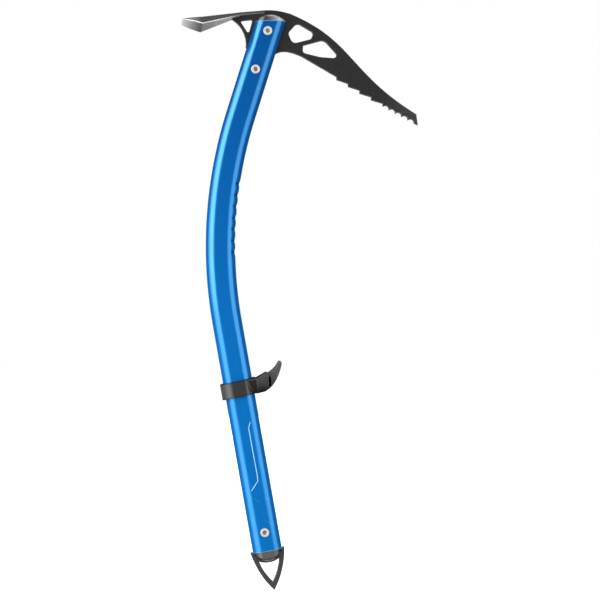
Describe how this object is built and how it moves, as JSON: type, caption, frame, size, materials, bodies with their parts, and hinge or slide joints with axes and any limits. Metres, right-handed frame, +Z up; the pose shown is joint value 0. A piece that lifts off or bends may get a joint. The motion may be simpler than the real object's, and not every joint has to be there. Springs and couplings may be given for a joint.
{
  "type": "ice climbing tool",
  "caption": "Technical ice climbing tool: bent oval tube shaft with grip notches, toothed plate pick, adze, riveted spike with an eye, and a sliding hand rest with a cam lever.",
  "frame": {"origin": "on the shaft's centre line at the hand grip, where the straight lower part meets the bend", "axes": "+Z up along the tool towards the head, +X towards the pick, +Y away from the viewed side; the tool's plane is Y = 0"},
  "size_m": [0.2043, 0.0564, 0.4999],
  "materials": {
    "shaft_blue": "blue anodised",
    "coated_steel": "black coated",
    "bare_steel": "dark, ground",
    "grey_plastic": "moulded",
    "rivet_silver": "bright",
    "mandrel_steel": "dull",
    "rest_black": "fine moulded texture",
    "pin_steel": "plain",
    "pad_rubber": "plain"
  },
  "bodies": {
    "tool": {"shaft": "shaft_blue", "head_plate": "coated_steel", "adze": "bare_steel", "head_insert_near": "grey_plastic", "head_insert_far": "grey_plastic", "head_rivet_upper": "rivet_silver", "head_mandrel_upper": "mandrel_steel", "head_rivet_lower": "rivet_silver", "head_mandrel_lower": "mandrel_steel", "spike_plate": "bare_steel", "spike_insert_near": "grey_plastic", "spike_insert_far": "grey_plastic", "spike_rivet": "rivet_silver", "spike_mandrel": "mandrel_steel"},
    "rest": {"rest_collar": "rest_black", "rest_pin": "pin_steel", "rest_pad": "pad_rubber"},
    "lever": {"rest_lever": "rest_black"}
  },
  "joints": [
    {"name": "rest_slide", "type": "slide", "parent": "tool", "child": "rest", "axis": [-0.1736, 0, 0.9848], "range_m": [-0.112, 0.048]},
    {"name": "lever_lift", "type": "hinge", "parent": "rest", "child": "lever", "pos_m": [0.03058, 0, -0.05249], "axis": [0, -1, 0], "range_deg": [0, 40]}
  ]
}
